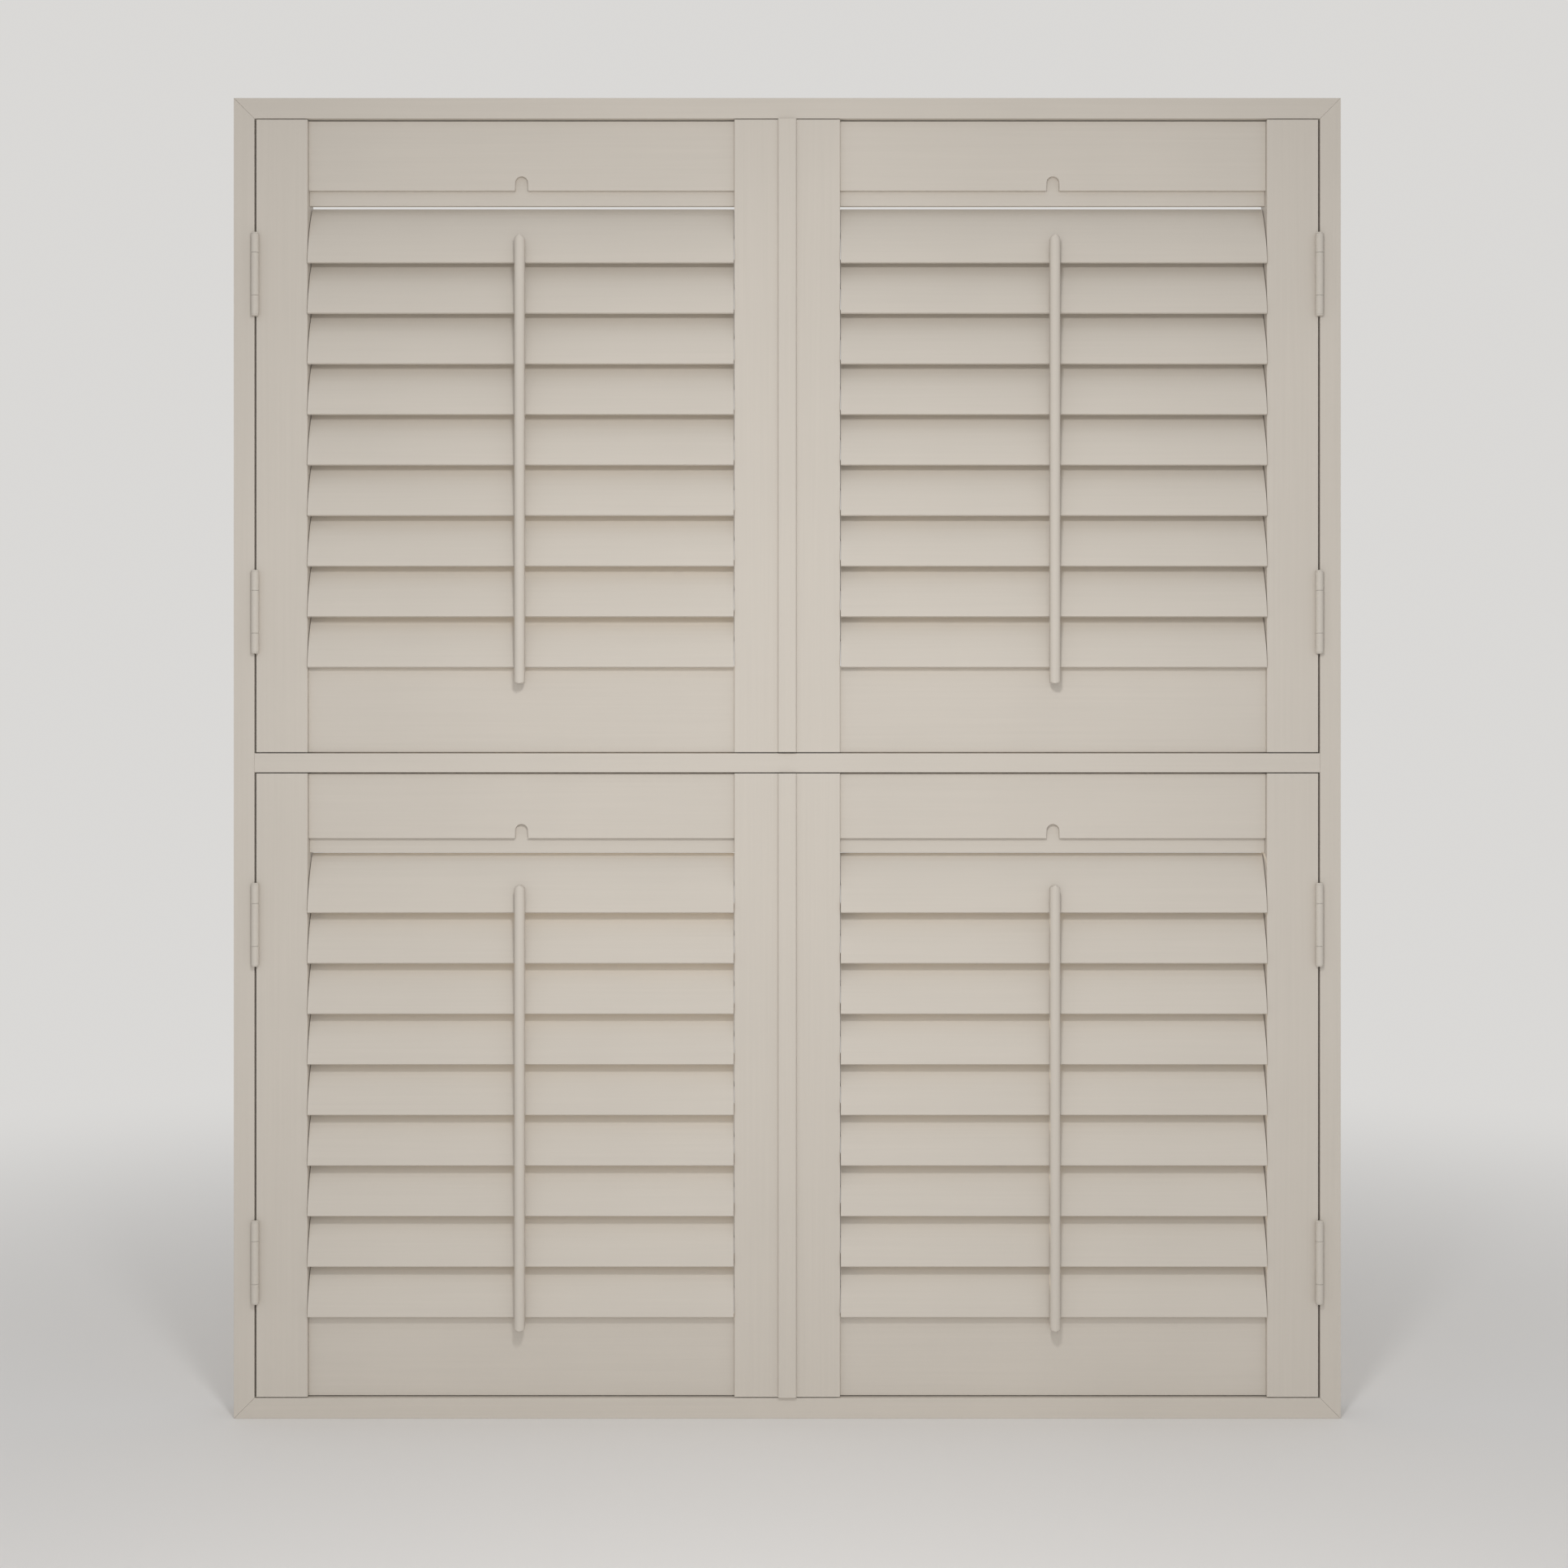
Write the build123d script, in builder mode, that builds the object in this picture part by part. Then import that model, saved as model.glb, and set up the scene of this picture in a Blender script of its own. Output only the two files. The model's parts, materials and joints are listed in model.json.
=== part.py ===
"""Louvred window shutters: two tiers of two hinged leaves in one mitred frame.

Millimetres, +Z up, the room on the -Y side. The origin is the centre of the
frame's bottom face. Every leaf holds nine louvres on pivot pins, moved together
by one tilt rod at their front edges. At rest the louvres stand partly open.
"""

import os
from math import cos, radians, sin

from build123d import *

# Frame: mitred members with a stop behind the leaves, and a rail between the tiers
frame_width = 1098.0
frame_height = 1310.0
frame_depth = 46.0
frame_face = 20.5
frame_stop = 12.0
mid_rail_face = 19.0
mid_rail_centre = 650.5
stop_clearance = 0.6

# Fixing screws through the frame's uprights, hidden behind the leaves' edges
screw_radius = 2.25
screw_head_radius = 4.4
screw_count = 4
screw_spacing = 360.0

# Leaves
leaf_thickness = 27.0
stile_width = 51.0
hinge_gap = 1.6
meeting_gap = 3.0
end_gap = 1.0
edge_round = 1.0

# Rails of a leaf, set back from the stiles. A thin tongue hangs under the top rail,
# and a thin lip stands on the bottom rail behind the last louvre's edge
rail_setback = 5.5
rail_thickness = 16.0
top_rail_clearance = 44.3
tongue_clearance = 30.3
tongue_setback = 10.5
tongue_thickness = 4.5
bottom_rail_clearance = 32.5
lip_clearance = 27.5
tenon_thickness = 8.0
tenon_length = 25.0
tenon_shoulder = 12.0
mortise_clearance = 0.1
notch_width = 12.7
notch_height = 14.3

# Louvres
louvre_count = 9
louvre_pitch = 50.1
louvre_chord = 63.5
louvre_thickness = 11.0
louvre_edge_radius = 1.6
louvre_end_gap = 0.6
louvre_setback = 9.5
louvre_rest_tilt = 22.5
pivot_radius = 2.5
pivot_length = 10.0
pivot_clearance = 0.05
pivot_end_room = 1.0

# Staples that link each louvre's front edge to the tilt rod
eye_reach = 34.6
eye_wire_radius = 0.7
eye_spread = 6.0
eye_root_depth = 3.0
ring_radius = 1.8
ring_wire_radius = 0.6

# Tilt rods. The lower tier's reach higher over the first staple and end nearer the last one
rod_width = 10.0
rod_thickness = 10.3
rod_crown = 3.4
rod_back_gap = 2.0
upper_rod_above_eye = 28.0
upper_rod_below_eye = 13.5
lower_rod_above_eye = 30.6
lower_rod_below_eye = 8.0
rod_tip_length = 8.0
rod_foot_radius = 2.0

# Butt hinges, with the barrel in front of the frame and the leaf
hinge_length = 79.5
hinge_end_knuckle = 18.4
hinge_barrel_radius = 3.75
hinge_front_clearance = 0.35
hinge_plate_thickness = 1.5
hinge_plate_depth = 18.0
hinge_knuckle_gap = 0.3
hinge_pin_radius = 1.5
hinge_pin_clearance = 0.05
hinge_head_length = 1.6
hinge_head_round = 1.2
hinge_head_gap = 0.1
hinge_below_first_louvre = 41.0
hinge_above_last_louvre = 25.5

# Cover strip down the meeting stiles, carried by the left leaf of each tier
strip_width = 18.6
strip_thickness = 4.0
strip_crown = 0.5
strip_edge_radius = 2.2
strip_clearance = 0.5

# Places that follow from the sizes above
front = -frame_depth / 2
back = frame_depth / 2
leaf_back = front + leaf_thickness
stop_front = leaf_back + stop_clearance
opening_half = frame_width / 2 - frame_face
leaf_edge = opening_half - hinge_gap
meeting_edge = meeting_gap / 2
stile_inner = leaf_edge - stile_width
meeting_stile_inner = meeting_edge + stile_width
louvre_span = stile_inner - meeting_stile_inner
louvre_middle = (stile_inner + meeting_stile_inner) / 2
louvre_y = front + louvre_setback
rail_front = front + rail_setback
rail_back = rail_front + rail_thickness
tongue_front = front + tongue_setback
tongue_back = tongue_front + tongue_thickness
lip_back = rail_front + tongue_thickness
pivot_bore_radius = pivot_radius + pivot_clearance
pivot_bore_depth = pivot_length - louvre_end_gap + pivot_end_room
rest_sin = sin(radians(louvre_rest_tilt))
rest_cos = cos(radians(louvre_rest_tilt))
eye_y = louvre_y - eye_reach * rest_sin
eye_drop = eye_reach * rest_cos
rod_back = eye_y - rod_back_gap
rod_front = rod_back - rod_thickness
hinge_y = front - hinge_barrel_radius - hinge_front_clearance
hinge_bore_radius = hinge_pin_radius + hinge_pin_clearance
hinge_mid_knuckle = hinge_length - 2 * (hinge_end_knuckle + hinge_knuckle_gap)
hinge_pin_reach = hinge_length / 2 + hinge_head_gap + hinge_head_length

mid_rail_bottom = mid_rail_centre - mid_rail_face / 2
mid_rail_top = mid_rail_centre + mid_rail_face / 2
tiers = {
    "upper": (mid_rail_top + end_gap, frame_height - frame_face - end_gap),
    "lower": (frame_face + end_gap, mid_rail_bottom - end_gap),
}
sides = {"left": -1, "right": 1}

os.makedirs("parts", exist_ok=True)


def save(piece, name):
    """Label one finished piece and write it to its own file."""
    piece.label = name
    export_step(piece, f"parts/{name}.step")


def facing(depth):
    """A plane at this depth that faces the room."""
    return Plane.XZ.offset(-depth)


def block(x_ends, y_ends, z_ends, mode=Mode.ADD):
    """A box between two places on each axis."""
    ends = (sorted(x_ends), sorted(y_ends), sorted(z_ends))
    middle = [(low + high) / 2 for low, high in ends]
    with Locations(tuple(middle)):
        Box(*(high - low for low, high in ends), mode=mode)


def louvre_axes(tier):
    """Heights of a tier's louvre pivots, from the top louvre down."""
    bottom, top = tiers[tier]
    middle = (bottom + top) / 2
    return [middle + louvre_pitch * ((louvre_count - 1) / 2 - step) for step in range(louvre_count)]


def hinge_heights(tier):
    """Middle heights of a leaf's two hinges."""
    axes = louvre_axes(tier)
    return axes[0] - hinge_below_first_louvre, axes[-1] + hinge_above_last_louvre


all_hinge_heights = [height for tier in tiers for height in hinge_heights(tier)]


def member_outline(start, end, inward, width):
    """Front outline of a frame member whose ends are cut at 45 degrees."""
    along = (end - start).normalized()
    return start, start + (inward + along) * width, end + (inward - along) * width, end


# Frame members
member_section = (
    (frame_face, front, stop_front),
    (frame_face + frame_stop, stop_front, back),
)
bottom_left = Vector(-frame_width / 2, 0)
bottom_right = Vector(frame_width / 2, 0)
top_left = Vector(-frame_width / 2, frame_height)
top_right = Vector(frame_width / 2, frame_height)

for name, start, end, inward in (
    ("frame_bottom_rail", bottom_left, bottom_right, Vector(0, 1)),
    ("frame_top_rail", top_left, top_right, Vector(0, -1)),
):
    with BuildPart() as rail:
        for width, near, far in member_section:
            with BuildSketch(facing(far)):
                Polygon(*member_outline(start, end, inward, width), align=None)
            extrude(amount=far - near)
    save(rail.part, name)

for side_name, side in sides.items():
    start = Vector(side * frame_width / 2, 0)
    end = Vector(side * frame_width / 2, frame_height)
    inward = Vector(-side, 0)
    screws_start = frame_height / 2 - screw_spacing * (screw_count - 1) / 2
    screw_heights = [screws_start + screw_spacing * step for step in range(screw_count)]
    with BuildPart() as upright:
        for width, near, far in member_section:
            with BuildSketch(facing(far)):
                Polygon(*member_outline(start, end, inward, width), align=None)
            extrude(amount=far - near)
        for height in all_hinge_heights:
            block(
                (side * opening_half, side * (opening_half + hinge_plate_thickness)),
                (front, front + hinge_plate_depth),
                (height - hinge_length / 2, height + hinge_length / 2),
                mode=Mode.SUBTRACT,
            )
        with Locations(
            *[Plane((side * opening_half, 0, height), z_dir=(-side, 0, 0)) for height in screw_heights]
        ):
            CounterSinkHole(screw_radius, screw_head_radius)
    save(upright.part, f"frame_{side_name}_upright")

with BuildPart() as mid_rail:
    block((-opening_half, opening_half), (front, stop_front), (mid_rail_bottom, mid_rail_top))
    stop_half = opening_half - frame_stop
    block(
        (-stop_half, stop_half),
        (stop_front, back),
        (mid_rail_bottom - frame_stop, mid_rail_top + frame_stop),
    )
save(mid_rail.part, "frame_mid_rail")


# Hinges
def add_plate(outer_x, inner_x, height):
    """A hinge plate, let in flush."""
    block(
        (outer_x, inner_x),
        (front, front + hinge_plate_depth),
        (height - hinge_length / 2, height + hinge_length / 2),
    )


def add_knuckle(side, outer_x, inner_x, middle, length):
    """A knuckle on the hinge axis, its web to the plate, and its bore."""
    block((outer_x, inner_x), (hinge_y, front), (middle - length / 2, middle + length / 2))
    with Locations((side * leaf_edge, hinge_y, middle)):
        Cylinder(hinge_barrel_radius, length)
        Cylinder(hinge_bore_radius, length, mode=Mode.SUBTRACT)


def add_hinge_pin(side, height):
    """The pin, with a head as wide as the barrel at each end."""
    with Locations((side * leaf_edge, hinge_y, height)):
        Cylinder(hinge_pin_radius, 2 * hinge_pin_reach)
    for end in (-1, 1):
        head_middle = height + end * (hinge_pin_reach - hinge_head_length / 2)
        with Locations((side * leaf_edge, hinge_y, head_middle)):
            Cylinder(hinge_barrel_radius, hinge_head_length)


def at_pin_end(edge):
    """Whether an edge lies on the outer face of a hinge pin's head."""
    reach = [abs(abs(edge.center().Z - height) - hinge_pin_reach) for height in all_hinge_heights]
    return min(reach) < hinge_head_gap / 2


with BuildPart() as frame_hinges:
    for side in sides.values():
        wall_x = side * opening_half
        plate_x = wall_x + side * hinge_plate_thickness
        for height in all_hinge_heights:
            add_plate(wall_x, plate_x, height)
            for end in (-1, 1):
                knuckle_middle = height + end * (hinge_length - hinge_end_knuckle) / 2
                add_knuckle(side, wall_x, plate_x, knuckle_middle, hinge_end_knuckle)
            add_hinge_pin(side, height)
    fillet(frame_hinges.edges().filter_by(GeomType.CIRCLE).filter_by(at_pin_end), hinge_head_round)
save(frame_hinges.part, "frame_hinge_halves")

for tier in tiers:
    for side_name, side in sides.items():
        edge_x = side * leaf_edge
        plate_x = edge_x - side * hinge_plate_thickness
        with BuildPart() as leaf_hinges:
            for height in hinge_heights(tier):
                add_plate(edge_x, plate_x, height)
                add_knuckle(side, edge_x, plate_x, height, hinge_mid_knuckle)
        save(leaf_hinges.part, f"{tier}_{side_name}_hinge_halves")


# Leaf frames
def rail_heights(tier):
    """Heights of the top rail's lower face, its tongue and the bottom rail's upper face."""
    axes = louvre_axes(tier)
    return axes[0] + top_rail_clearance, axes[0] + tongue_clearance, axes[-1] - bottom_rail_clearance


def add_tenon(end_x, inward, z_ends, clearance, mode):
    """A tenon, or with clearance its mortise, that runs out from a rail's end into the stile."""
    middle_y = (rail_front + rail_back) / 2
    half = tenon_thickness / 2 + clearance
    low, high = z_ends
    block(
        (end_x, end_x + inward * (tenon_length + clearance)),
        (middle_y - half, middle_y + half),
        (low + tenon_shoulder - clearance, high - tenon_shoulder + clearance),
        mode=mode,
    )


for tier, (leaf_bottom, leaf_top) in tiers.items():
    rail_bottom, tongue_bottom, low_rail_top = rail_heights(tier)
    lip_top = low_rail_top + bottom_rail_clearance - lip_clearance
    rail_spans = ((rail_bottom, leaf_top), (leaf_bottom, low_rail_top))
    for side_name, side in sides.items():
        outer_x = side * stile_inner
        inner_x = side * meeting_stile_inner
        middle_x = side * louvre_middle

        with BuildPart() as stiles:
            with BuildSketch(Plane.XY.offset(leaf_bottom)) as plan:
                for low_x in (outer_x, inner_x - side * stile_width):
                    with Locations((low_x + side * stile_width / 2, front + leaf_thickness / 2)):
                        Rectangle(stile_width, leaf_thickness)
                fillet(plan.vertices().group_by(Axis.Y)[0], radius=edge_round)
            extrude(amount=leaf_top - leaf_bottom)
            for edge_x, into in ((outer_x, side), (inner_x, -side)):
                for z_ends in rail_spans:
                    add_tenon(edge_x, into, z_ends, mortise_clearance, Mode.SUBTRACT)
                for height in louvre_axes(tier):
                    with Locations(Plane((edge_x, louvre_y, height), z_dir=(-into, 0, 0))):
                        Hole(pivot_bore_radius, depth=pivot_bore_depth)
            for height in hinge_heights(tier):
                block(
                    (side * leaf_edge, side * (leaf_edge - hinge_plate_thickness)),
                    (front, front + hinge_plate_depth),
                    (height - hinge_length / 2, height + hinge_length / 2),
                    mode=Mode.SUBTRACT,
                )
        save(stiles.part, f"{tier}_{side_name}_stiles")

        with BuildPart() as rails:
            for z_ends in rail_spans:
                block((outer_x, inner_x), (rail_front, rail_back), z_ends)
                for edge_x, into in ((outer_x, side), (inner_x, -side)):
                    add_tenon(edge_x, into, z_ends, 0, Mode.ADD)
            block((outer_x, inner_x), (tongue_front, tongue_back), (tongue_bottom, rail_bottom))
            block((outer_x, inner_x), (rail_front, lip_back), (low_rail_top, lip_top))
            arch_base = rail_bottom + notch_height - notch_width / 2
            with BuildSketch(facing(tongue_front)):
                with Locations((middle_x, (rail_bottom + arch_base) / 2)):
                    Rectangle(notch_width, arch_base - rail_bottom)
                with Locations((middle_x, arch_base)):
                    Circle(notch_width / 2)
            extrude(amount=tongue_front - rail_front, mode=Mode.SUBTRACT)
        save(rails.part, f"{tier}_{side_name}_rails")


# Cover strips: a slightly crowned moulding, relieved where it laps over the other leaf
for tier, (leaf_bottom, leaf_top) in tiers.items():
    half = strip_width / 2
    strip_front = front - strip_thickness
    shoulder = strip_front + strip_crown
    relief = front - strip_clearance
    with BuildPart() as strip:
        with BuildSketch(Plane.XY.offset(leaf_bottom)) as profile:
            with BuildLine():
                Polyline(
                    (-half, shoulder),
                    (-half, front),
                    (-meeting_edge, front),
                    (-meeting_edge, relief),
                    (half, relief),
                    (half, shoulder),
                )
                ThreePointArc((half, shoulder), (0, strip_front), (-half, shoulder))
            make_face()
            fillet(profile.vertices().group_by(Axis.Y)[0], radius=strip_edge_radius)
        extrude(amount=leaf_top - leaf_bottom)
    save(strip.part, f"{tier}_cover_strip")


# One louvre about its pivot, with its two pins and its staple
tip_reach = louvre_chord / 2 - louvre_edge_radius
half_thick = louvre_thickness / 2
face_radius = (tip_reach**2 + half_thick**2 - louvre_edge_radius**2) / (2 * (half_thick - louvre_edge_radius))
tangent_x = tip_reach * face_radius / (face_radius - louvre_edge_radius)
tangent_y = louvre_edge_radius * (face_radius - half_thick) / (face_radius - louvre_edge_radius)
louvre_plane = Plane(origin=(0, 0, 0), x_dir=(0, -rest_sin, -rest_cos), z_dir=(1, 0, 0))

with BuildPart(louvre_plane) as louvre:
    with BuildSketch(louvre_plane):
        with BuildLine():
            ThreePointArc((-tangent_x, tangent_y), (0, half_thick), (tangent_x, tangent_y))
            ThreePointArc((tangent_x, tangent_y), (louvre_chord / 2, 0), (tangent_x, -tangent_y))
            ThreePointArc((tangent_x, -tangent_y), (0, -half_thick), (-tangent_x, -tangent_y))
            ThreePointArc((-tangent_x, -tangent_y), (-louvre_chord / 2, 0), (-tangent_x, tangent_y))
        make_face()
    extrude(amount=louvre_span / 2 - louvre_end_gap, both=True)
    Cylinder(pivot_radius, louvre_span + 2 * (pivot_length - louvre_end_gap))
    leg_length = eye_reach - louvre_chord / 2 + eye_root_depth
    for end in (-1, 1):
        with Locations((eye_reach - leg_length / 2, 0, end * eye_spread / 2)):
            Cylinder(eye_wire_radius, leg_length, rotation=(0, 90, 0))
    with Locations((eye_reach, 0, 0)):
        Cylinder(eye_wire_radius, eye_spread + 2 * eye_wire_radius)

for tier in tiers:
    for side_name, side in sides.items():
        for number, height in enumerate(louvre_axes(tier), start=1):
            placed = louvre.part.moved(Location((side * louvre_middle, louvre_y, height)))
            save(placed, f"{tier}_{side_name}_louvre_{number}")


# Tilt rods
rod_reaches = {
    "upper": (upper_rod_above_eye, upper_rod_below_eye),
    "lower": (lower_rod_above_eye, lower_rod_below_eye),
}
for tier in tiers:
    above_eye, below_eye = rod_reaches[tier]
    for side_name, side in sides.items():
        middle_x = side * louvre_middle
        half = rod_width / 2
        eye_heights = [height - eye_drop for height in louvre_axes(tier)]
        rod_top = eye_heights[0] + above_eye
        rod_bottom = eye_heights[-1] - below_eye
        shoulder = rod_front + rod_crown
        with BuildPart() as rod:
            with BuildSketch(Plane.XY.offset(rod_bottom)):
                with BuildLine():
                    Polyline(
                        (middle_x + half, shoulder),
                        (middle_x + half, rod_back),
                        (middle_x - half, rod_back),
                        (middle_x - half, shoulder),
                    )
                    ThreePointArc(
                        (middle_x - half, shoulder),
                        (middle_x, rod_front),
                        (middle_x + half, shoulder),
                    )
                make_face()
            extrude(amount=rod_top - rod_bottom)
            with BuildSketch(facing(rod_back)):
                tip_base = rod_top - rod_tip_length
                with Locations((middle_x, (tip_base + rod_bottom) / 2)):
                    RectangleRounded(rod_width, tip_base - rod_bottom, rod_foot_radius)
                with Locations((middle_x, tip_base - rod_width / 2)):
                    Rectangle(rod_width, rod_width)
                with Locations((middle_x, tip_base)):
                    Ellipse(half, rod_tip_length)
            extrude(amount=rod_thickness, mode=Mode.INTERSECT)
            for height in eye_heights:
                with Locations((middle_x, eye_y, height)):
                    Torus(ring_radius, ring_wire_radius, rotation=(0, 90, 0))
        save(rod.part, f"{tier}_{side_name}_tilt_rod")
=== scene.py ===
"""Dresses the louvred shutters: eased timber edges, modelled blades, tilt rods, wire staples and
hinge screws, satin cream paint on every piece, soft light, and the photograph's view.

Metres, +Z up, the room on the -Y side.
"""

import json
import math

import bmesh
import bpy
from mathutils import Matrix, Vector


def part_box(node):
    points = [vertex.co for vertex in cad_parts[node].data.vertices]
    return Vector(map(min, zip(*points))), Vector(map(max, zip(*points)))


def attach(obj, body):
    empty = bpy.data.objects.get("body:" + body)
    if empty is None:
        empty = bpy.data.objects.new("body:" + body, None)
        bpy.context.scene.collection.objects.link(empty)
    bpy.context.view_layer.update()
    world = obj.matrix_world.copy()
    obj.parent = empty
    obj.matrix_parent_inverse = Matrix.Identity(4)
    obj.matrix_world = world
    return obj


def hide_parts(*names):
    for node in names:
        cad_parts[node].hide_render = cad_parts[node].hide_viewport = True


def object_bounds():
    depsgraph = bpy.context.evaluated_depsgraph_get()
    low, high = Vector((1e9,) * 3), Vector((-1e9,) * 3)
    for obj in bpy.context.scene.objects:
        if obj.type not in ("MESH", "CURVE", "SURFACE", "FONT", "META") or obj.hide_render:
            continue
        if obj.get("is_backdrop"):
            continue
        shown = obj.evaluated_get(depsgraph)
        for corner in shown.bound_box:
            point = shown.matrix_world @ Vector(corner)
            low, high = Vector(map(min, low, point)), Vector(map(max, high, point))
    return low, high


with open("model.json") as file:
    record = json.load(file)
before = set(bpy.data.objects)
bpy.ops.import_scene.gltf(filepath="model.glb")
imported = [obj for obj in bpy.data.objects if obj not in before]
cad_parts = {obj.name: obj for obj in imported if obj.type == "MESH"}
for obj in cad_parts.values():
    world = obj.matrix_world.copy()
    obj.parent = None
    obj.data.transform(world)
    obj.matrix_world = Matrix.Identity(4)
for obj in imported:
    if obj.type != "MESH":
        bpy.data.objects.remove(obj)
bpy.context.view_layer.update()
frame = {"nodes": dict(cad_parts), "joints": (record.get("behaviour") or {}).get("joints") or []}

tiers = ("upper", "lower")
sides = ("left", "right")
louvre_count = 9

# Joint name to the place it turns about
pivots = {joint["name"]: Vector(joint["pos_m"]) for joint in frame["joints"]}

# Camera, level and straight on, a little left of the frame's centre
camera_lens_mm = 50.0
camera_sensor_mm = 36.0
camera_distance = 2.160
camera_height = 0.6295
camera_offset = -0.0032
frame_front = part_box("frame_left_upright")[0].y

# Easing of the timber's arrises, and the shortest edge that is eased
frame_ease = 0.0004
stile_ease = 0.0004
rail_ease = 0.0005
strip_ease = 0.0003
shortest_edge = 0.012
shortest_rail_edge = 0.003
shortest_strip_edge = 0.002

# Blades
blade_chord = 0.0635
blade_thickness = 0.011
blade_edge_radius = 0.0016
blade_edge_cut = 0.0011
blade_rest_tilt = math.radians(22.5)
blade_end_ease = 0.0004
pin_radius = 0.0025
pin_length = 0.010
pin_overlap = 0.002
pin_nose = 0.0006

# Wire staples that link a blade's front edge to the rod
wire_radius = 0.0007
wire_bend = 0.0012
wire_sides = 10
staple_reach = 0.0346
staple_half_spread = 0.003
staple_root = 0.003
rod_wire_radius = 0.0006
rod_staple_radius = 0.0018
rod_staple_root = 0.0025

# Tilt rods
rod_half_width = 0.005
rod_crown = 0.0034
rod_tip_rise = 0.0042
rod_foot_radius = 0.002
rod_back_gap = 0.002
rod_end_steps = 8
rod_end_turn = math.radians(86)

# Screws of the hinge plates
hinge_length = 0.0795
hinge_plate_depth = 0.018
hinge_gap = 0.0016
screw_head_radius = 0.0029
screw_head_rise = 0.00025
screw_head_depth = 0.0012
screw_rim_round = 0.0003
screw_taper = 0.6
screw_slot_width = 0.0009
screw_slot_length = 0.0032
screw_slot_depth = 0.0012
screw_spread = 0.029
screw_stagger = 0.003

# Colours, linear
cream = (0.596, 0.547, 0.484)
cream_shade = (0.564, 0.518, 0.458)
louvre_cream = (0.602, 0.553, 0.489)
louvre_shade = (0.570, 0.524, 0.463)
hinge_cream = (0.590, 0.545, 0.484)
hinge_shade = (0.555, 0.512, 0.452)
wire_metal = (0.60, 0.59, 0.57)
wire_dull = (0.42, 0.41, 0.39)
backdrop = (0.70, 0.69, 0.675)
floor_pale = (0.80, 0.785, 0.77)
white = (1.0, 1.0, 1.0)
warm_daylight = (1.0, 0.88, 0.70)

# The floor, and how far out it starts and ends passing into the backdrop
floor_size = 24.0
floor_fade = (0.4, 2.6)

# Light: each lamp's place, aim, size, power and colour
lamps = {
    "key_lamp": ((0.0, -1.17, 1.17), (0.0, -0.3, 0.2), 0.15, 5.4, white),
    "fill_lamp": ((0.0, -1.9, 0.65), (0.0, 0.0, 0.5), 1.2, 7.0, white),
    "window_side_lamp": ((-0.9, 1.3, 1.25), (0.05, 0.0, 0.33), 0.5, 3.0, warm_daylight),
}
window_side_spread = math.radians(50)
world_strength = 0.545


# Selecting and editing
def hold(piece):
    """Make this the only selected object."""
    bpy.ops.object.select_all(action="DESELECT")
    piece.select_set(True)
    bpy.context.view_layer.objects.active = piece


def edit(piece, mode="EDGE"):
    """Open a piece in edit mode with nothing selected."""
    hold(piece)
    bpy.ops.object.mode_set(mode="EDIT")
    bpy.ops.mesh.select_mode(type=mode)
    bpy.ops.mesh.select_all(action="DESELECT")


def close():
    """Leave edit mode."""
    bpy.ops.object.mode_set(mode="OBJECT")


def choose(piece, kind, test):
    """Select the vertices, edges or faces that pass a test."""
    mesh = bmesh.from_edit_mesh(piece.data)
    for part in getattr(mesh, kind):
        part.select_set(test(part))
    bmesh.update_edit_mesh(piece.data)


def at(value, place, reach=0.00002):
    """Whether a coordinate lies at a place."""
    return abs(value - place) < reach


def fresh(name):
    """Name the primitive just added."""
    piece = bpy.context.object
    piece.name = name
    piece.data.name = name
    return piece


def face_outwards(piece):
    """Merge doubles and turn every face outwards."""
    edit(piece)
    bpy.ops.mesh.select_all(action="SELECT")
    bpy.ops.mesh.remove_doubles(threshold=0.000005)
    bpy.ops.mesh.normals_make_consistent(inside=False)
    close()


def smooth(piece, angle=35):
    """Smooth shading across soft edges only, with the wide flat faces kept flat."""
    hold(piece)
    bpy.ops.object.shade_smooth_by_angle(angle=math.radians(angle))
    flat = piece.modifiers.new("flat_faces", "WEIGHTED_NORMAL")
    flat.keep_sharp = True
    flat.weight = 100
    bpy.ops.object.modifier_apply(modifier=flat.name)


def join(pieces):
    """Join pieces into the first of them."""
    bpy.ops.object.select_all(action="DESELECT")
    for piece in pieces:
        piece.select_set(True)
    bpy.context.view_layer.objects.active = pieces[0]
    bpy.ops.object.join()
    return pieces[0]


def settle(piece):
    """Put a piece's place into its mesh."""
    hold(piece)
    bpy.ops.object.transform_apply(location=True, rotation=True, scale=True)


def copy_of(pattern, name, move):
    """A copy with its own mesh, moved into place."""
    piece = bpy.data.objects.new(name, pattern.data.copy())
    bpy.context.scene.collection.objects.link(piece)
    piece.data.name = name
    piece.data.transform(move)
    return piece


# Paint and metal
def new_group(name, inputs, outputs):
    """An empty shader group with named sockets."""
    group = bpy.data.node_groups.new(name, "ShaderNodeTree")
    for label, kind, value in inputs:
        socket = group.interface.new_socket(label, in_out="INPUT", socket_type=kind)
        socket.default_value = value
    for label, kind in outputs:
        group.interface.new_socket(label, in_out="OUTPUT", socket_type=kind)
    return group


def add_node(tree, kind, place, **settings):
    """A node at a place in the tree, with its settings."""
    node = tree.nodes.new(kind)
    node.location = place
    for key, value in settings.items():
        setattr(node, key, value)
    return node


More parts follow.
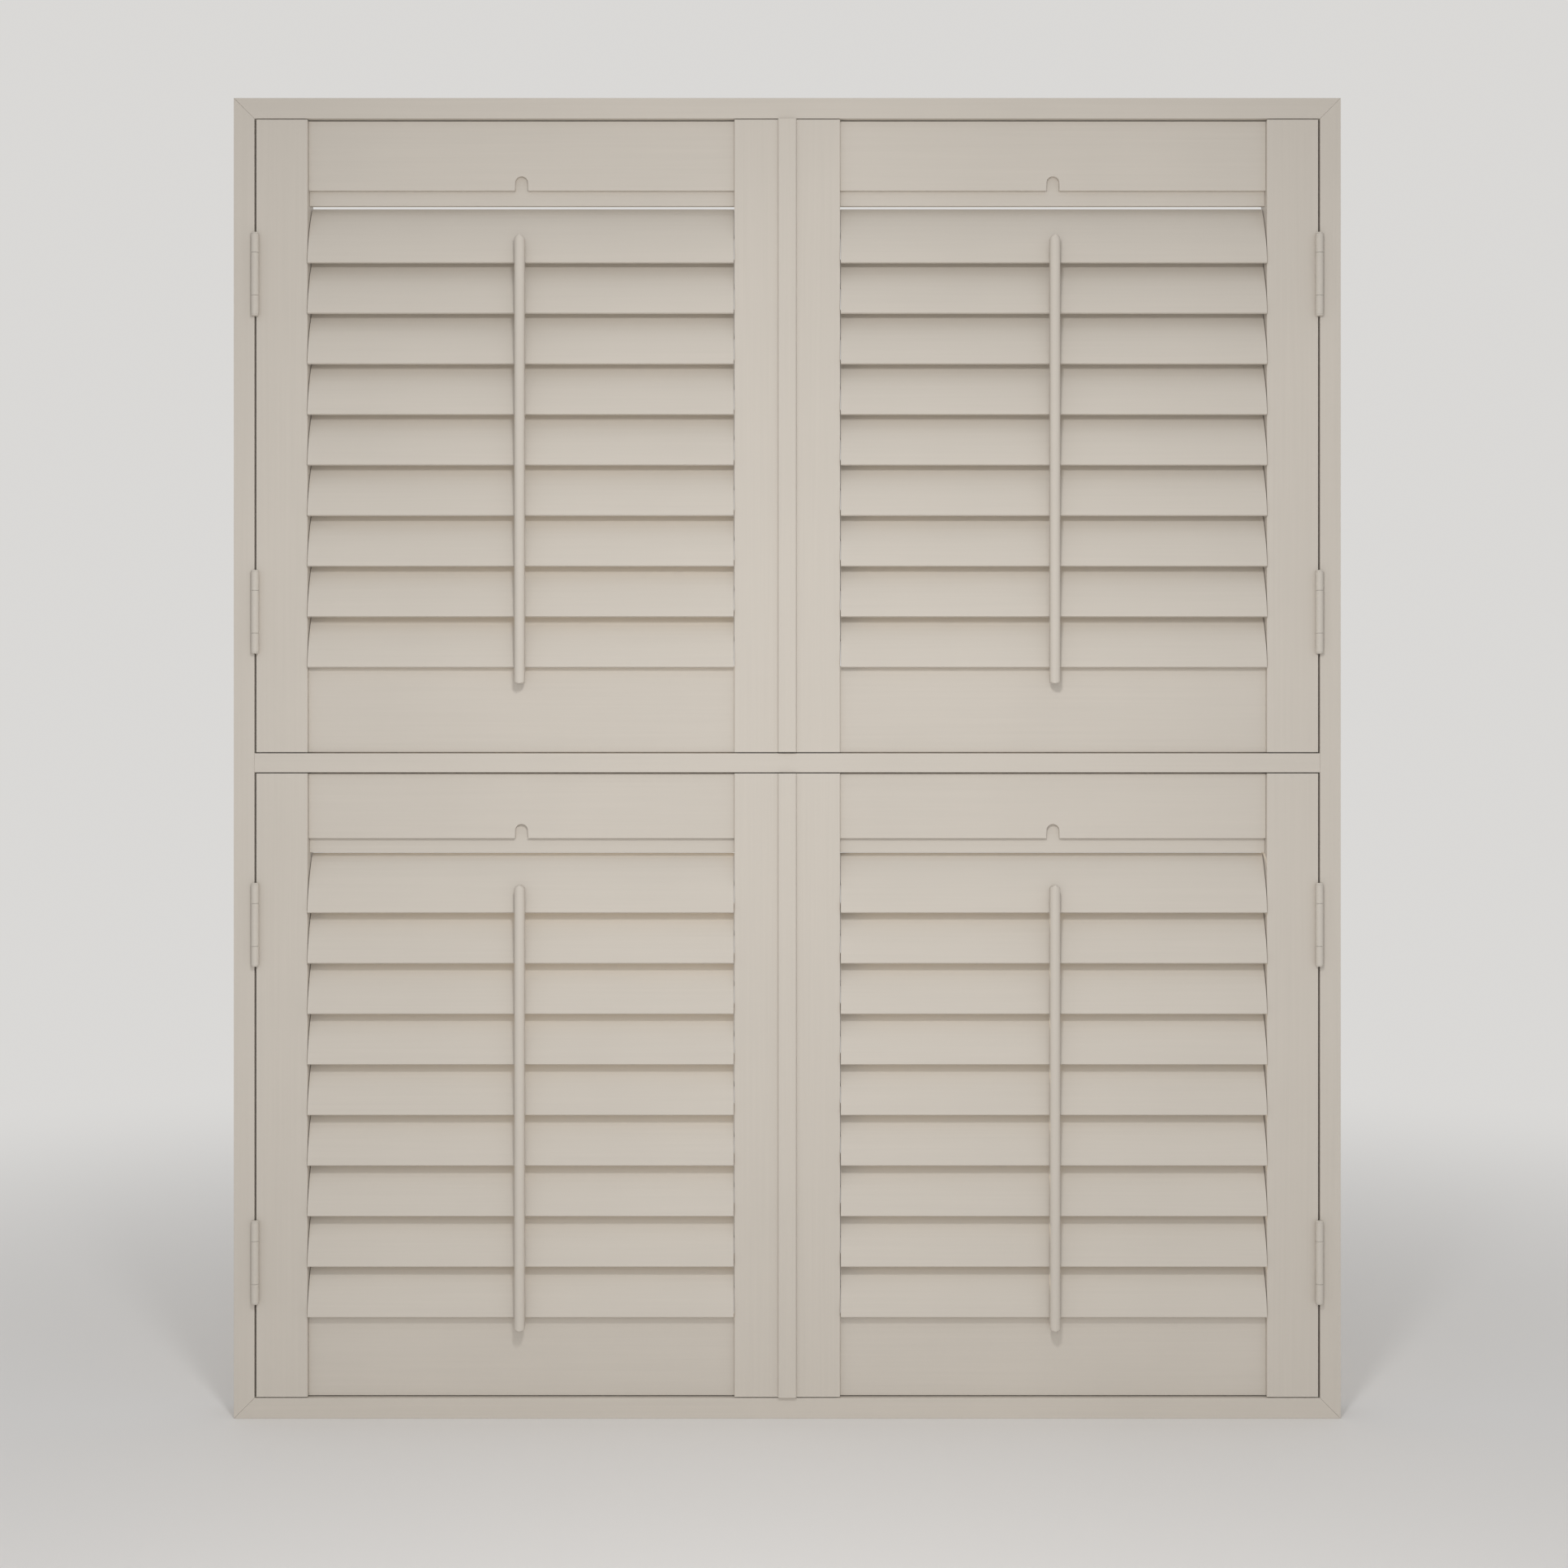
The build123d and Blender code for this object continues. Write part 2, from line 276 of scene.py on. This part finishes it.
def paint_over_timber_group():
    """Satin paint over timber: faint grain along the piece, broad clouding, and its gloss and height."""
    group = new_group(
        "paint_over_timber",
        (
            ("Vector", "NodeSocketVector", (0.0, 0.0, 0.0)),
            ("Run", "NodeSocketVector", (1.0, 1.0, 1.0)),
            ("Paint", "NodeSocketColor", (0.6, 0.55, 0.48, 1.0)),
            ("Shade", "NodeSocketColor", (0.56, 0.52, 0.45, 1.0)),
            ("Gloss Low", "NodeSocketFloat", 0.40),
            ("Gloss High", "NodeSocketFloat", 0.50),
        ),
        (
            ("Color", "NodeSocketColor"),
            ("Roughness", "NodeSocketFloat"),
            ("Height", "NodeSocketFloat"),
        ),
    )
    link = group.links.new
    given = add_node(group, "NodeGroupInput", (-900, 0))
    out = add_node(group, "NodeGroupOutput", (700, 0))

    run = add_node(group, "ShaderNodeMapping", (-700, 200))
    link(given.outputs["Vector"], run.inputs["Vector"])
    link(given.outputs["Run"], run.inputs["Scale"])
    grain = add_node(group, "ShaderNodeTexNoise", (-500, 200))
    grain.inputs["Scale"].default_value = 1.0
    grain.inputs["Detail"].default_value = 3.0
    grain.inputs["Roughness"].default_value = 0.55
    grain.inputs["Distortion"].default_value = 0.15
    link(run.outputs["Vector"], grain.inputs["Vector"])

    cloud = add_node(group, "ShaderNodeTexNoise", (-500, -100))
    cloud.inputs["Scale"].default_value = 7.0
    cloud.inputs["Detail"].default_value = 2.0
    link(given.outputs["Vector"], cloud.inputs["Vector"])

    sprayed = add_node(group, "ShaderNodeTexNoise", (-500, -350))
    sprayed.inputs["Scale"].default_value = 900.0
    sprayed.inputs["Detail"].default_value = 2.0
    link(given.outputs["Vector"], sprayed.inputs["Vector"])

    both = add_node(group, "ShaderNodeMix", (-250, 100), data_type="FLOAT")
    both.inputs["Factor"].default_value = 0.5
    link(grain.outputs["Fac"], both.inputs["A"])
    link(cloud.outputs["Fac"], both.inputs["B"])
    spread = add_node(group, "ShaderNodeMapRange", (-50, 100))
    spread.inputs["From Min"].default_value = 0.30
    spread.inputs["From Max"].default_value = 0.70
    link(both.outputs["Result"], spread.inputs["Value"])

    tint = add_node(group, "ShaderNodeMix", (200, 200), data_type="RGBA")
    link(spread.outputs["Result"], tint.inputs["Factor"])
    link(given.outputs["Shade"], tint.inputs["A"])
    link(given.outputs["Paint"], tint.inputs["B"])
    link(tint.outputs["Result"], out.inputs["Color"])

    gloss = add_node(group, "ShaderNodeMapRange", (200, -50))
    gloss.inputs["From Min"].default_value = 0.30
    gloss.inputs["From Max"].default_value = 0.70
    link(sprayed.outputs["Fac"], gloss.inputs["Value"])
    link(given.outputs["Gloss Low"], gloss.inputs["To Min"])
    link(given.outputs["Gloss High"], gloss.inputs["To Max"])
    link(gloss.outputs["Result"], out.inputs["Roughness"])

    relief = add_node(group, "ShaderNodeMath", (200, -300), operation="MULTIPLY_ADD")
    relief.inputs[1].default_value = 0.25
    link(sprayed.outputs["Fac"], relief.inputs[0])
    link(grain.outputs["Fac"], relief.inputs[2])
    link(relief.outputs["Value"], out.inputs["Height"])
    return group


def painted(name, group, colours, run, gloss, relief):
    """Satin paint whose grain runs along the piece."""
    material = bpy.data.materials.new(name)
    material.use_nodes = True
    tree = material.node_tree
    shader = tree.nodes["Principled BSDF"]
    place = add_node(tree, "ShaderNodeTexCoord", (-900, 0))
    coat = add_node(tree, "ShaderNodeGroup", (-650, 0), node_tree=group)
    coat.inputs["Run"].default_value = run
    coat.inputs["Paint"].default_value = (*colours[0], 1.0)
    coat.inputs["Shade"].default_value = (*colours[1], 1.0)
    coat.inputs["Gloss Low"].default_value = gloss[0]
    coat.inputs["Gloss High"].default_value = gloss[1]
    bump = add_node(tree, "ShaderNodeBump", (-300, -250))
    bump.inputs["Strength"].default_value = relief
    bump.inputs["Distance"].default_value = 0.0004
    tree.links.new(place.outputs["Object"], coat.inputs["Vector"])
    tree.links.new(coat.outputs["Color"], shader.inputs["Base Color"])
    tree.links.new(coat.outputs["Roughness"], shader.inputs["Roughness"])
    tree.links.new(coat.outputs["Height"], bump.inputs["Height"])
    tree.links.new(bump.outputs["Normal"], shader.inputs["Normal"])
    return material


def drawn_wire(name):
    """Bright zinc wire, a little dulled in places."""
    material = bpy.data.materials.new(name)
    material.use_nodes = True
    tree = material.node_tree
    shader = tree.nodes["Principled BSDF"]
    shader.inputs["Metallic"].default_value = 1.0
    place = add_node(tree, "ShaderNodeTexCoord", (-900, 0))
    dulling = add_node(tree, "ShaderNodeTexNoise", (-700, 0))
    dulling.inputs["Scale"].default_value = 400.0
    dulling.inputs["Detail"].default_value = 3.0
    tint = add_node(tree, "ShaderNodeMix", (-400, 100), data_type="RGBA")
    tint.inputs["A"].default_value = (*wire_metal, 1.0)
    tint.inputs["B"].default_value = (*wire_dull, 1.0)
    gloss = add_node(tree, "ShaderNodeMapRange", (-400, -150))
    gloss.inputs["To Min"].default_value = 0.28
    gloss.inputs["To Max"].default_value = 0.52
    tree.links.new(place.outputs["Object"], dulling.inputs["Vector"])
    tree.links.new(dulling.outputs["Fac"], tint.inputs["Factor"])
    tree.links.new(dulling.outputs["Fac"], gloss.inputs["Value"])
    tree.links.new(tint.outputs["Result"], shader.inputs["Base Color"])
    tree.links.new(gloss.outputs["Result"], shader.inputs["Roughness"])
    return material


paint_group = paint_over_timber_group()
along_x = (6.0, 420.0, 420.0)
along_z = (420.0, 420.0, 6.0)
upright_paint = painted("upright_paint", paint_group, (cream, cream_shade), along_z, (0.42, 0.50), 0.10)
rail_paint = painted("rail_paint", paint_group, (cream, cream_shade), along_x, (0.42, 0.50), 0.10)
louvre_paint = painted(
    "louvre_paint", paint_group, (louvre_cream, louvre_shade), along_x, (0.38, 0.46), 0.07
)
hinge_paint = painted(
    "hinge_paint", paint_group, (hinge_cream, hinge_shade), (300.0, 300.0, 300.0), (0.34, 0.42), 0.05
)
staple_wire = drawn_wire("staple_wire")


def finish_piece(piece, body, material):
    """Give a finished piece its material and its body."""
    piece.data.materials.clear()
    piece.data.materials.append(material)
    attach(piece, body)


# Timber members, with the arrises eased as they are before painting
def eased_member(node_name, body, paint, ease, shortest=shortest_edge):
    """A member made from its solid, merged, cleaned and eased along its long outer edges."""
    node = frame["nodes"][node_name]
    piece = bpy.data.objects.new("eased_" + node_name, node.data.copy())
    bpy.context.scene.collection.objects.link(piece)
    edit(piece)
    bpy.ops.mesh.select_all(action="SELECT")
    bpy.ops.mesh.remove_doubles(threshold=0.000005)
    bpy.ops.mesh.customdata_custom_splitnormals_clear()
    bpy.ops.mesh.dissolve_limited(angle_limit=math.radians(0.5))
    bpy.ops.mesh.select_all(action="DESELECT")
    choose(
        piece,
        "edges",
        lambda edge: edge.is_manifold
        and edge.is_convex
        and edge.calc_face_angle() > math.radians(50)
        and edge.calc_length() > shortest,
    )
    bpy.ops.mesh.bevel(offset=ease, segments=2, profile=0.5, affect="EDGES", clamp_overlap=False)
    close()
    smooth(piece)
    finish_piece(piece, body, paint)
    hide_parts(node_name)


for node_name, paint in (
    ("frame_left_upright", upright_paint),
    ("frame_right_upright", upright_paint),
    ("frame_top_rail", rail_paint),
    ("frame_bottom_rail", rail_paint),
    ("frame_mid_rail", rail_paint),
):
    eased_member(node_name, "frame", paint, frame_ease)

for tier in tiers:
    for side in sides:
        leaf = f"{tier}_{side}"
        eased_member(f"{leaf}_stiles", f"{leaf}_leaf", upright_paint, stile_ease)
        eased_member(f"{leaf}_rails", f"{leaf}_leaf", rail_paint, rail_ease, shortest_rail_edge)
    strip = f"{tier}_cover_strip"
    eased_member(strip, f"{tier}_left_leaf", upright_paint, strip_ease, shortest_strip_edge)


# Wire
def start_wire(name, place, radius, turn):
    """A disc of wire at a staple's root, ready to be drawn out."""
    bpy.ops.mesh.primitive_circle_add(
        vertices=wire_sides, radius=radius, fill_type="NGON", location=place, rotation=turn
    )
    wire = fresh(name)
    settle(wire)
    edit(wire, "FACE")
    bpy.ops.mesh.select_all(action="SELECT")
    return wire


def draw_out(step):
    """Carry the selected end of a wire or rod straight on."""
    bpy.ops.mesh.extrude_region_move(TRANSFORM_OT_translate={"value": step})


def bend_wire(centre, axis, angle, steps):
    """Bend the end of the wire about a centre."""
    bpy.ops.mesh.spin(steps=steps, angle=angle, center=centre, axis=axis)


def blade_staple():
    """The staple in an upright blade's lower edge, bent square with rounded corners."""
    half = staple_half_spread
    root = -blade_chord / 2 + staple_root
    turn_at = -staple_reach + wire_bend
    straight = 2 * (half - wire_bend)
    wire = start_wire("blade_staple", (-half, 0.0, root), wire_radius, (0.0, 0.0, 0.0))
    draw_out((0.0, 0.0, turn_at - root))
    bend_wire((-half + wire_bend, 0.0, turn_at), (0.0, 1.0, 0.0), math.pi / 2, 5)
    draw_out((straight, 0.0, 0.0))
    bend_wire((half - wire_bend, 0.0, turn_at), (0.0, 1.0, 0.0), math.pi / 2, 5)
    draw_out((0.0, 0.0, root - turn_at))
    close()
    face_outwards(wire)
    return wire


def rod_staple(eye, rod_back):
    """The staple in the rod's back that holds a blade's staple."""
    reach = eye.y - rod_back
    root_y = rod_back - rod_staple_root
    start = (eye.x, root_y, eye.z + rod_staple_radius)
    wire = start_wire("rod_staple", start, rod_wire_radius, (math.pi / 2, 0.0, 0.0))
    draw_out((0.0, reach + rod_staple_root, 0.0))
    bend_wire((eye.x, eye.y, eye.z), (1.0, 0.0, 0.0), math.pi, 10)
    draw_out((0.0, -reach - rod_staple_root, 0.0))
    close()
    face_outwards(wire)
    return wire


def metal_wire(wire, paint):
    """Give a wire its metal, second to the paint of the piece that it will join."""
    for material in (paint, staple_wire):
        wire.data.materials.append(material)
    for face in wire.data.polygons:
        face.material_index = 1


# Blades
def blade_body(length):
    """A lens-shaped blade, upright about its pivot axis, cut from two shallow arcs."""
    half_thick = blade_thickness / 2
    tip = blade_chord / 2
    tip_reach = tip - blade_edge_radius
    face_radius = (tip_reach**2 + half_thick**2 - blade_edge_radius**2) / (
        2 * (half_thick - blade_edge_radius)
    )
    bpy.ops.mesh.primitive_cylinder_add(
        vertices=400,
        radius=face_radius,
        depth=length,
        location=(0.0, half_thick - face_radius, 0.0),
        rotation=(0.0, math.pi / 2, 0.0),
    )
    blade = fresh("blade")
    settle(blade)
    edit(blade)
    bpy.ops.mesh.select_all(action="SELECT")
    bpy.ops.mesh.bisect(plane_co=(0.0, 0.0, 0.0), plane_no=(0.0, 1.0, 0.0), clear_inner=True)
    close()
    mirror = blade.modifiers.new("other_face", "MIRROR")
    mirror.use_axis = (False, True, False)
    mirror.merge_threshold = 0.00001
    bpy.ops.object.modifier_apply(modifier=mirror.name)
    edit(blade)
    for end in (-1, 1):
        bpy.ops.mesh.select_all(action="SELECT")
        bpy.ops.mesh.bisect(
            plane_co=(0.0, 0.0, end * tip),
            plane_no=(0.0, 0.0, end),
            use_fill=True,
            clear_outer=True,
        )
    bpy.ops.mesh.select_all(action="SELECT")
    bpy.ops.mesh.dissolve_limited(angle_limit=math.radians(0.2))
    bpy.ops.mesh.select_all(action="DESELECT")
    choose(
        blade,
        "edges",
        lambda edge: all(at(abs(corner.co.z), tip) for corner in edge.verts)
        and edge.calc_length() > length / 2,
    )
    bpy.ops.mesh.bevel(
        offset=blade_edge_cut, segments=5, profile=0.5, affect="EDGES", clamp_overlap=False
    )
    bpy.ops.mesh.select_all(action="DESELECT")
    choose(
        blade,
        "edges",
        lambda edge: all(at(abs(corner.co.x), length / 2) for corner in edge.verts)
        and edge.calc_face_angle(0.0) > math.radians(50),
    )
    bpy.ops.mesh.bevel(
        offset=blade_end_ease, segments=2, profile=0.5, affect="EDGES", clamp_overlap=False
    )
    close()
    return blade


def blade_pin(end, length):
    """A pivot pin with a chamfered nose at one end of the blade."""
    middle = length / 2 + (pin_length - pin_overlap) / 2
    bpy.ops.mesh.primitive_cylinder_add(
        vertices=24,
        radius=pin_radius,
        depth=pin_length + pin_overlap,
        location=(end * middle, 0.0, 0.0),
        rotation=(0.0, math.pi / 2, 0.0),
    )
    pin = fresh("blade_pin")
    settle(pin)
    edit(pin)
    pin_end = length / 2 + pin_length
    choose(pin, "edges", lambda edge: all(at(abs(corner.co.x), pin_end) for corner in edge.verts))
    bpy.ops.mesh.bevel(offset=pin_nose, segments=2, profile=0.5, affect="EDGES")
    close()
    return pin


def pattern_blade():
    """One finished blade about its pivot: body, pins and staple, turned to its tilt at rest."""
    low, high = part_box("upper_left_louvre_1")
    length = high.x - low.x - 2 * pin_length
    wire = blade_staple()
    metal_wire(wire, louvre_paint)
    body = blade_body(length)
    body.data.materials.append(louvre_paint)
    blade = join([body, blade_pin(-1, length), blade_pin(1, length), wire])
    blade.data.transform(Matrix.Rotation(-blade_rest_tilt, 4, "X"))
    smooth(blade, 30)
    return blade


blade_pattern = pattern_blade()
for tier in tiers:
    for side in sides:
        for number in range(1, louvre_count + 1):
            louvre = f"{tier}_{side}_louvre_{number}"
            pivot = pivots[f"{louvre}_tilt"]
            blade = copy_of(blade_pattern, f"blade_{louvre}", Matrix.Translation(pivot))
            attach(blade, louvre)
            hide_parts(louvre)
bpy.data.objects.remove(blade_pattern)


# Tilt rods
def round_end(rod, level, way, middle, widths, rise):
    """Draw one end out in steps that narrow along a quarter ellipse."""
    flat, curved = widths
    bpy.ops.mesh.select_all(action="DESELECT")
    choose(
        rod,
        "faces",
        lambda face: way * face.normal.z > 0.9 and at(face.calc_center_median().z, level),
    )
    width = flat + curved
    height = 0.0
    for step in range(1, rod_end_steps + 1):
        turn = rod_end_turn * step / rod_end_steps
        next_width = flat + curved * math.cos(turn)
        next_height = rise * math.sin(turn)
        draw_out((0.0, 0.0, way * (next_height - height)))
        bpy.ops.transform.resize(
            value=(next_width / width, 1.0, 1.0), center_override=(middle, 0.0, level)
        )
        width = next_width
        height = next_height


def rod_body(low, high, back):
    """The rod's length: a crowned front and flat sides and back, with a rounded tip and foot."""
    front = low.y
    middle = (low.x + high.x) / 2
    tip_base = high.z - rod_tip_rise
    foot_base = low.z + rod_foot_radius
    crown_radius = (rod_half_width**2 + rod_crown**2) / (2 * rod_crown)
    bpy.ops.mesh.primitive_cylinder_add(
        vertices=96,
        radius=crown_radius,
        depth=tip_base - foot_base,
        location=(middle, front + crown_radius, (tip_base + foot_base) / 2),
    )
    rod = fresh("rod_body")
    settle(rod)
    shoulder = front + rod_crown
    edit(rod, "FACE")
    bpy.ops.mesh.select_all(action="SELECT")
    bpy.ops.mesh.bisect(
        plane_co=(middle, shoulder, 0.0), plane_no=(0.0, 1.0, 0.0), use_fill=True, clear_outer=True
    )
    bpy.ops.mesh.select_all(action="DESELECT")
    choose(rod, "faces", lambda face: face.normal.y > 0.9)
    draw_out((0.0, back - shoulder, 0.0))
    bpy.ops.mesh.select_all(action="SELECT")
    bpy.ops.mesh.dissolve_limited(angle_limit=math.radians(0.2))
    tip_widths = (0.0, rod_half_width)
    foot_widths = (rod_half_width - rod_foot_radius, rod_foot_radius)
    round_end(rod, tip_base, 1, middle, tip_widths, rod_tip_rise)
    round_end(rod, foot_base, -1, middle, foot_widths, rod_foot_radius)
    close()
    face_outwards(rod)
    return rod


def finished_rod(leaf):
    """A rod with its nine staples, in place."""
    low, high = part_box(f"{leaf}_tilt_rod")
    first_tilt = pivots[f"{leaf}_louvre_1_tilt"]
    eye = pivots[f"{leaf}_rod_pivot"]
    back = eye.y - rod_back_gap
    rod = rod_body(low, high, back)
    rod.data.materials.append(upright_paint)
    rod.data.materials.append(staple_wire)
    parts = [rod]
    for number in range(1, louvre_count + 1):
        step = pivots[f"{leaf}_louvre_{number}_tilt"].z - first_tilt.z
        staple = rod_staple(eye + Vector((0.0, 0.0, step)), back)
        metal_wire(staple, upright_paint)
        parts.append(staple)
    return join(parts)


for tier in tiers:
    rod_pattern = finished_rod(f"{tier}_left")
    smooth(rod_pattern, 30)
    rod_home = pivots[f"{tier}_left_rod_pivot"]
    for side in sides:
        leaf = f"{tier}_{side}"
        shift = pivots[f"{leaf}_rod_pivot"] - rod_home
        rod = copy_of(rod_pattern, f"rod_{leaf}", Matrix.Translation(shift))
        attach(rod, f"{leaf}_tilt_rod")
        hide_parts(f"{leaf}_tilt_rod")
    bpy.data.objects.remove(rod_pattern)


# Hinge screws
def cross_cutter():
    """Two crossed bars that cut a screw's drive."""
    bars = []
    for turn in (0.0, math.pi / 2):
        bpy.ops.mesh.primitive_cube_add(
            size=1.0, location=(0.0, 0.0, screw_head_rise), rotation=(0.0, 0.0, turn)
        )
        bar = fresh("bar")
        bar.scale = (screw_slot_length, screw_slot_width, screw_slot_depth)
        settle(bar)
        bars.append(bar)
    return bars


def pattern_screw():
    """A countersunk head with a slightly domed rim and a cross drive, its face up the Z axis."""
    bpy.ops.mesh.primitive_cylinder_add(
        vertices=32,
        radius=screw_head_radius,
        depth=screw_head_depth,
        location=(0.0, 0.0, screw_head_rise - screw_head_depth / 2),
    )
    screw = fresh("screw")
    settle(screw)
    edit(screw)
    choose(screw, "edges", lambda edge: all(at(corner.co.z, screw_head_rise) for corner in edge.verts))
    bpy.ops.mesh.bevel(offset=screw_rim_round, segments=3, profile=0.5, affect="EDGES")
    close()
    edit(screw, "FACE")
    choose(screw, "faces", lambda face: face.normal.z < -0.9)
    bpy.ops.transform.resize(value=(screw_taper, screw_taper, 1.0), center_override=(0.0, 0.0, 0.0))
    close()
    for bar in cross_cutter():
        cut = screw.modifiers.new("drive", "BOOLEAN")
        cut.object = bar
        cut.operation = "DIFFERENCE"
        hold(screw)
        bpy.ops.object.modifier_apply(modifier=cut.name)
        bpy.data.objects.remove(bar)
    smooth(screw, 30)
    return screw


screw_pattern = pattern_screw()


def plate_screws(name, plate_x, facing, middle_z, body):
    """The three screws of one hinge plate."""
    middle_y = frame_front + hinge_plate_depth / 2
    turn = Matrix.Rotation(facing * math.pi / 2, 4, "Y")
    screws = []
    for number, step in enumerate((-1, 0, 1)):
        stagger = screw_stagger * (1 - 2 * abs(step))
        place = Vector((plate_x, middle_y + stagger, middle_z + step * screw_spread))
        screws.append(copy_of(screw_pattern, f"{name}_{number}", Matrix.Translation(place) @ turn))
    piece = join(screws)
    piece.name = name
    finish_piece(piece, body, hinge_paint)


for tier in tiers:
    for side in sides:
        leaf = f"{tier}_{side}"
        outward = -1 if side == "left" else 1
        low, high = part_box(f"{leaf}_hinge_halves")
        leaf_x = pivots[f"{tier}_{side}_leaf_swing"].x
        wall_x = outward * (abs(leaf_x) + hinge_gap)
        half_hinge = hinge_length / 2
        for place, middle_z in (("top", high.z - half_hinge), ("foot", low.z + half_hinge)):
            plate_screws(f"leaf_screws_{leaf}_{place}", leaf_x, outward, middle_z, f"{leaf}_leaf")
            plate_screws(f"frame_screws_{leaf}_{place}", wall_x, -outward, middle_z, "frame")
bpy.data.objects.remove(screw_pattern)


# Paint on the solids that still show
for name, node in frame["nodes"].items():
    node.data.materials.clear()
    node.data.materials.append(hinge_paint if "hinge" in name else upright_paint)


# Camera, light and floor
def add_camera():
    """A level camera at the photograph's viewing place."""
    bpy.ops.object.camera_add(
        location=(camera_offset, frame_front - camera_distance, camera_height),
        rotation=(math.pi / 2, 0.0, 0.0),
    )
    camera = bpy.context.object
    camera.data.lens = camera_lens_mm
    camera.data.sensor_width = camera_sensor_mm
    bpy.context.scene.camera = camera


def add_lamp(name):
    """A square soft lamp that faces a point and isn't seen itself."""
    place, aim, size, power, colour = lamps[name]
    turn = (Vector(aim) - Vector(place)).to_track_quat("-Z", "Y").to_euler()
    bpy.ops.object.light_add(type="AREA", location=place, rotation=turn)
    lamp = bpy.context.object
    lamp.name = name
    lamp.data.size = size
    lamp.data.energy = power
    lamp.data.color = colour
    lamp.visible_camera = False
    return lamp


def light_only(lamp, pieces):
    """Let a lamp light these pieces and nothing else."""
    lit = bpy.data.collections.new("lit_by_" + lamp.name)
    for piece in pieces:
        lit.objects.link(piece)
    lamp.light_linking.receiver_collection = lit


def seen_directly(tree, place):
    """1 where a surface is seen by the camera, in a reflection or through glass."""
    path = add_node(tree, "ShaderNodeLightPath", place)
    first = add_node(tree, "ShaderNodeMath", (place[0] + 200, place[1]), operation="MAXIMUM")
    both = add_node(tree, "ShaderNodeMath", (place[0] + 400, place[1]), operation="MAXIMUM")
    tree.links.new(path.outputs["Is Camera Ray"], first.inputs[0])
    tree.links.new(path.outputs["Is Glossy Ray"], first.inputs[1])
    tree.links.new(first.outputs["Value"], both.inputs[0])
    tree.links.new(path.outputs["Is Transmission Ray"], both.inputs[1])
    return both.outputs["Value"]


def light_world(strength):
    """Even white light all round, behind which the plain pale backdrop shows."""
    world = bpy.context.scene.world or bpy.data.worlds.new("studio")
    bpy.context.scene.world = world
    world.use_nodes = True
    tree = world.node_tree
    light = tree.nodes["Background"]
    light.inputs["Color"].default_value = (1.0, 1.0, 1.0, 1.0)
    light.inputs["Strength"].default_value = strength
    shown = add_node(tree, "ShaderNodeBackground", (0, -200))
    shown.inputs["Color"].default_value = (*backdrop, 1.0)
    mix = add_node(tree, "ShaderNodeMixShader", (250, 0))
    tree.links.new(seen_directly(tree, (-700, 200)), mix.inputs["Fac"])
    tree.links.new(light.outputs["Background"], mix.inputs[1])
    tree.links.new(shown.outputs["Background"], mix.inputs[2])
    tree.links.new(mix.outputs["Shader"], tree.nodes["World Output"].inputs["Surface"])


def add_floor():
    """A plain pale floor that passes into the backdrop far from the shutters."""
    bpy.ops.mesh.primitive_plane_add(size=floor_size, location=(0.0, 0.0, 0.0))
    floor = fresh("floor")
    floor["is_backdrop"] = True
    material = bpy.data.materials.new("floor_paint")
    material.use_nodes = True
    tree = material.node_tree
    shader = tree.nodes["Principled BSDF"]
    shader.inputs["Base Color"].default_value = (*floor_pale, 1.0)
    shader.inputs["Roughness"].default_value = 0.8
    place = add_node(tree, "ShaderNodeTexCoord", (-900, -300))
    reach = add_node(tree, "ShaderNodeVectorMath", (-700, -300), operation="LENGTH")
    fade = add_node(tree, "ShaderNodeMapRange", (-500, -300), interpolation_type="SMOOTHSTEP")
    fade.inputs["From Min"].default_value = floor_fade[0]
    fade.inputs["From Max"].default_value = floor_fade[1]
    seen = add_node(tree, "ShaderNodeMath", (0, -300), operation="MULTIPLY")
    plain = add_node(tree, "ShaderNodeEmission", (0, -500))
    plain.inputs["Color"].default_value = (*backdrop, 1.0)
    mix = add_node(tree, "ShaderNodeMixShader", (300, 0))
    tree.links.new(place.outputs["Object"], reach.inputs[0])
    tree.links.new(reach.outputs["Value"], fade.inputs["Value"])
    tree.links.new(fade.outputs["Result"], seen.inputs[0])
    tree.links.new(seen_directly(tree, (-700, -100)), seen.inputs[1])
    tree.links.new(seen.outputs["Value"], mix.inputs["Fac"])
    tree.links.new(shader.outputs["BSDF"], mix.inputs[1])
    tree.links.new(plain.outputs["Emission"], mix.inputs[2])
    tree.links.new(mix.outputs["Shader"], tree.nodes["Material Output"].inputs["Surface"])
    floor.data.materials.append(material)


shutter_pieces = [thing for thing in bpy.context.scene.objects if thing.type == "MESH"]
add_camera()
for name in ("key_lamp", "fill_lamp"):
    add_lamp(name).visible_glossy = False
window_side = add_lamp("window_side_lamp")
window_side.data.spread = window_side_spread
light_only(window_side, shutter_pieces)
light_world(world_strength)
add_floor()
bpy.context.scene.view_settings.view_transform = "Standard"

low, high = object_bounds()
